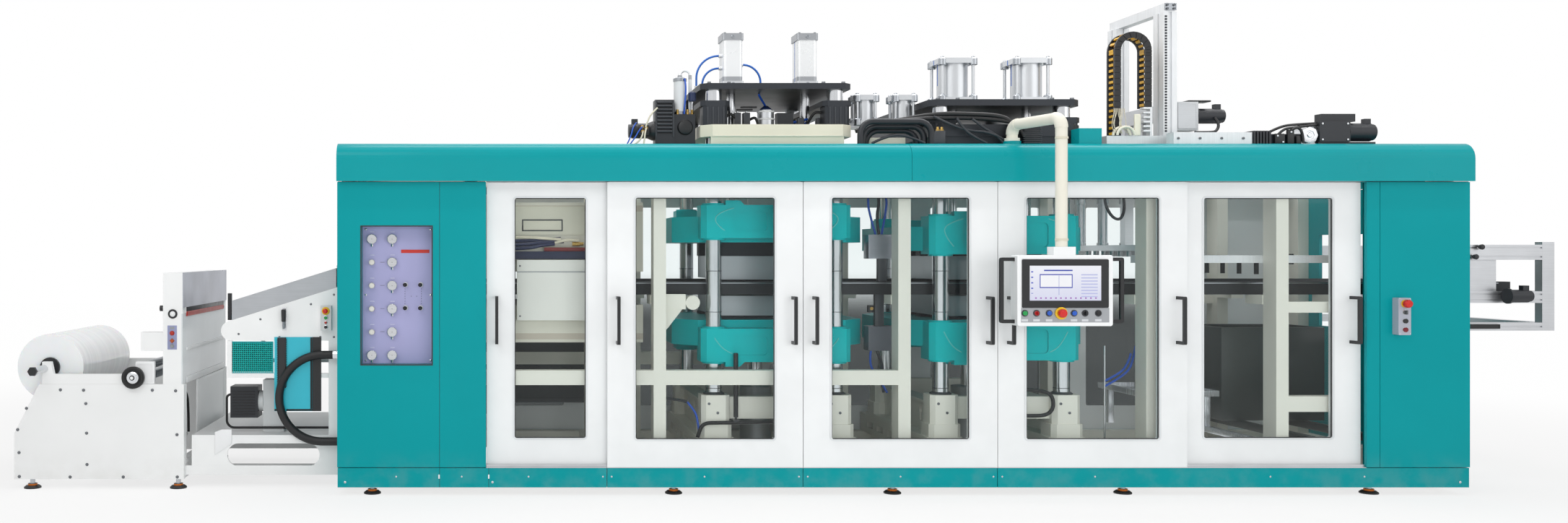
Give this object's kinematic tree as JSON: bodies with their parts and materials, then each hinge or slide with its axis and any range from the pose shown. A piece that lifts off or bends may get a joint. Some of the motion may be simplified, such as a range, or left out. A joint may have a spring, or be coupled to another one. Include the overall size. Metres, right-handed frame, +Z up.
{
  "type": "thermoforming machine",
  "caption": "Roll-fed thermoforming machine with a film unwinder, a teal guard cabinet with sliding doors, forming and cutting stations, a stacker and a swivel operator panel.",
  "frame": {"origin": "on the floor under the middle of the machine outline", "axes": "+X along the line from the unwinder to the outfeed, +Y from the operator side to the rear, +Z up"},
  "size_m": [10.1899, 2.289, 3.2],
  "materials": {
    "cream": "smooth",
    "teal": "smooth",
    "platen_green": "smooth",
    "white": "smooth",
    "black": "smooth",
    "black_metal": "smooth",
    "pane": "smooth",
    "aluminium": "smooth",
    "chrome": "smooth",
    "lavender": "smooth",
    "gauge": "smooth",
    "beige": "smooth",
    "red": "smooth",
    "green": "smooth",
    "blue": "smooth",
    "yellow": "smooth",
    "grey": "smooth",
    "film": "smooth",
    "rubber": "smooth",
    "dark_steel": "smooth",
    "grey_plastic": "smooth"
  },
  "bodies": {
    "frame": {"base_frame": "cream", "skirt_panels": "teal", "levelling_feet": "rubber", "guard_posts": "cream", "left_column": "teal", "right_column": "teal", "roof_covers": "teal", "rear_panels": "white", "rear_windows": "pane", "door_tracks": "aluminium", "gauge_panel": "lavender", "pressure_gauges": "gauge", "regulator_knobs": "black", "valve_levers": "black", "door_3": "white", "door_3_window": "pane", "side_station": "yellow", "pillars": "chrome", "pillar_feet": "cream", "crossheads": "dark_steel", "press_cylinders": "aluminium", "heaters": "beige", "transport_rails": "black_metal", "stacker_tower": "aluminium", "drive_motors": "dark_steel", "cable_chain": "black", "unwinder_frame": "white", "unwinder_cabinet": "white", "infeed_frame": "white", "infeed_hose": "rubber", "outfeed_frame": "aluminium"},
    "door_1_body": {"door_1": "white", "door_1_window": "pane"},
    "door_2_body": {"door_2": "white", "door_2_window": "pane"},
    "door_4_body": {"door_4": "white", "door_4_window": "pane"},
    "door_5_body": {"door_5": "white", "door_5_window": "pane"},
    "arm": {"hmi_arm": "beige"},
    "panel": {"hmi_panel": "white"},
    "hmi_green_button_body": {"hmi_green_button": "green"},
    "hmi_left_blue_button_body": {"hmi_left_blue_button": "blue"},
    "hmi_right_blue_button_body": {"hmi_right_blue_button": "blue"},
    "hmi_black_button_body": {"hmi_black_button": "black"},
    "hmi_stop_button_body": {"hmi_stop_button": "red"},
    "hmi_selector_body": {"hmi_selector": "black"},
    "hmi_key_body": {"hmi_key_switch": "red"},
    "side_stop_body": {"side_stop_button": "red"},
    "side_selector_body": {"side_selector": "grey_plastic"},
    "station_1_upper_platen_body": {"station_1_upper_platen": "platen_green"},
    "station_1_lower_platen_body": {"station_1_lower_platen": "platen_green"},
    "station_2_upper_platen_body": {"station_2_upper_platen": "platen_green"},
    "station_2_lower_platen_body": {"station_2_lower_platen": "platen_green"},
    "carriage": {"stacker_carriage": "aluminium"},
    "picker": {"pick_arm": "black_metal"},
    "roll": {"mandrel": "chrome", "film_roll": "film"},
    "wheel": {"guide_wheel": "rubber"},
    "cover": {"infeed_cover": "grey"}
  },
  "joints": [
    {"name": "door_1_slide", "type": "slide", "parent": "frame", "child": "door_1_body", "axis": [1, 0, 0], "range_m": [0, 0.66]},
    {"name": "door_2_slide", "type": "slide", "parent": "frame", "child": "door_2_body", "axis": [1, 0, 0], "range_m": [-0.66, 0]},
    {"name": "door_4_slide", "type": "slide", "parent": "frame", "child": "door_4_body", "axis": [1, 0, 0], "range_m": [0, 1]},
    {"name": "door_5_slide", "type": "slide", "parent": "frame", "child": "door_5_body", "axis": [1, 0, 0], "range_m": [-1, 0]},
    {"name": "arm_swivel", "type": "hinge", "parent": "frame", "child": "arm", "pos_m": [1.433, -0.5855, 2.3], "axis": [0, 0, 1], "range_deg": [-35, 15]},
    {"name": "panel_swivel", "type": "hinge", "parent": "arm", "child": "panel", "pos_m": [1.54372, -1.0505, 1.56], "axis": [0, 0, -1], "range_deg": [-30, 30]},
    {"name": "hmi_green_button_press", "type": "slide", "parent": "panel", "child": "hmi_green_button_body", "axis": [0, 1, 0], "range_m": [0, 0.004], "stiffness_N_per_m": 600},
    {"name": "hmi_left_blue_button_press", "type": "slide", "parent": "panel", "child": "hmi_left_blue_button_body", "axis": [0, 1, 0], "range_m": [0, 0.004], "stiffness_N_per_m": 600},
    {"name": "hmi_right_blue_button_press", "type": "slide", "parent": "panel", "child": "hmi_right_blue_button_body", "axis": [0, 1, 0], "range_m": [0, 0.004], "stiffness_N_per_m": 600},
    {"name": "hmi_black_button_press", "type": "slide", "parent": "panel", "child": "hmi_black_button_body", "axis": [0, 1, 0], "range_m": [0, 0.004], "stiffness_N_per_m": 600},
    {"name": "hmi_stop_press", "type": "slide", "parent": "panel", "child": "hmi_stop_button_body", "axis": [0, 1, 0], "range_m": [0, 0.0045], "stiffness_N_per_m": 2500},
    {"name": "hmi_selector_turn", "type": "hinge", "parent": "panel", "child": "hmi_selector_body", "pos_m": [1.66372, -1.1105, 1.181], "axis": [0, 1, 0], "range_deg": [-45, 45]},
    {"name": "hmi_key_turn", "type": "hinge", "parent": "panel", "child": "hmi_key_body", "pos_m": [1.36972, -1.1105, 1.181], "axis": [0, 1, 0], "range_deg": [0, 90]},
    {"name": "side_stop_press", "type": "slide", "parent": "frame", "child": "side_stop_body", "axis": [0, 1, 0], "range_m": [0, 0.0045], "stiffness_N_per_m": 2500},
    {"name": "side_selector_turn", "type": "hinge", "parent": "frame", "child": "side_selector_body", "pos_m": [3.8495, -0.7605, 1.17], "axis": [0, 1, 0], "range_deg": [-45, 45]},
    {"name": "station_1_upper_platen_lift", "type": "slide", "parent": "frame", "child": "station_1_upper_platen_body", "axis": [0, 0, 1], "range_m": [-0.05, 0.14]},
    {"name": "station_1_lower_platen_lift", "type": "slide", "parent": "frame", "child": "station_1_lower_platen_body", "axis": [0, 0, 1], "range_m": [-0.15, 0.05]},
    {"name": "station_2_upper_platen_lift", "type": "slide", "parent": "frame", "child": "station_2_upper_platen_body", "axis": [0, 0, 1], "range_m": [-0.05, 0.14]},
    {"name": "station_2_lower_platen_lift", "type": "slide", "parent": "frame", "child": "station_2_lower_platen_body", "axis": [0, 0, 1], "range_m": [-0.15, 0.05]},
    {"name": "stacker_lift", "type": "slide", "parent": "frame", "child": "carriage", "axis": [0, 0, 1], "range_m": [-0.12, 0.35]},
    {"name": "pick_arm_travel", "type": "slide", "parent": "frame", "child": "picker", "axis": [1, 0, 0], "range_m": [-0.35, 0.2]},
    {"name": "roll_spin", "type": "hinge", "parent": "frame", "child": "roll", "pos_m": [-4.875, 0.1995, 0.785], "axis": [0, 1, 0], "continuous": true},
    {"name": "guide_wheel_spin", "type": "hinge", "parent": "frame", "child": "wheel", "pos_m": [-4.281, -0.4805, 0.729], "axis": [0, 1, 0], "continuous": true},
    {"name": "infeed_cover_lift", "type": "hinge", "parent": "frame", "child": "cover", "pos_m": [-2.955, 0.1995, 1.455], "axis": [0, 1, 0], "range_deg": [0, 60]}
  ]
}
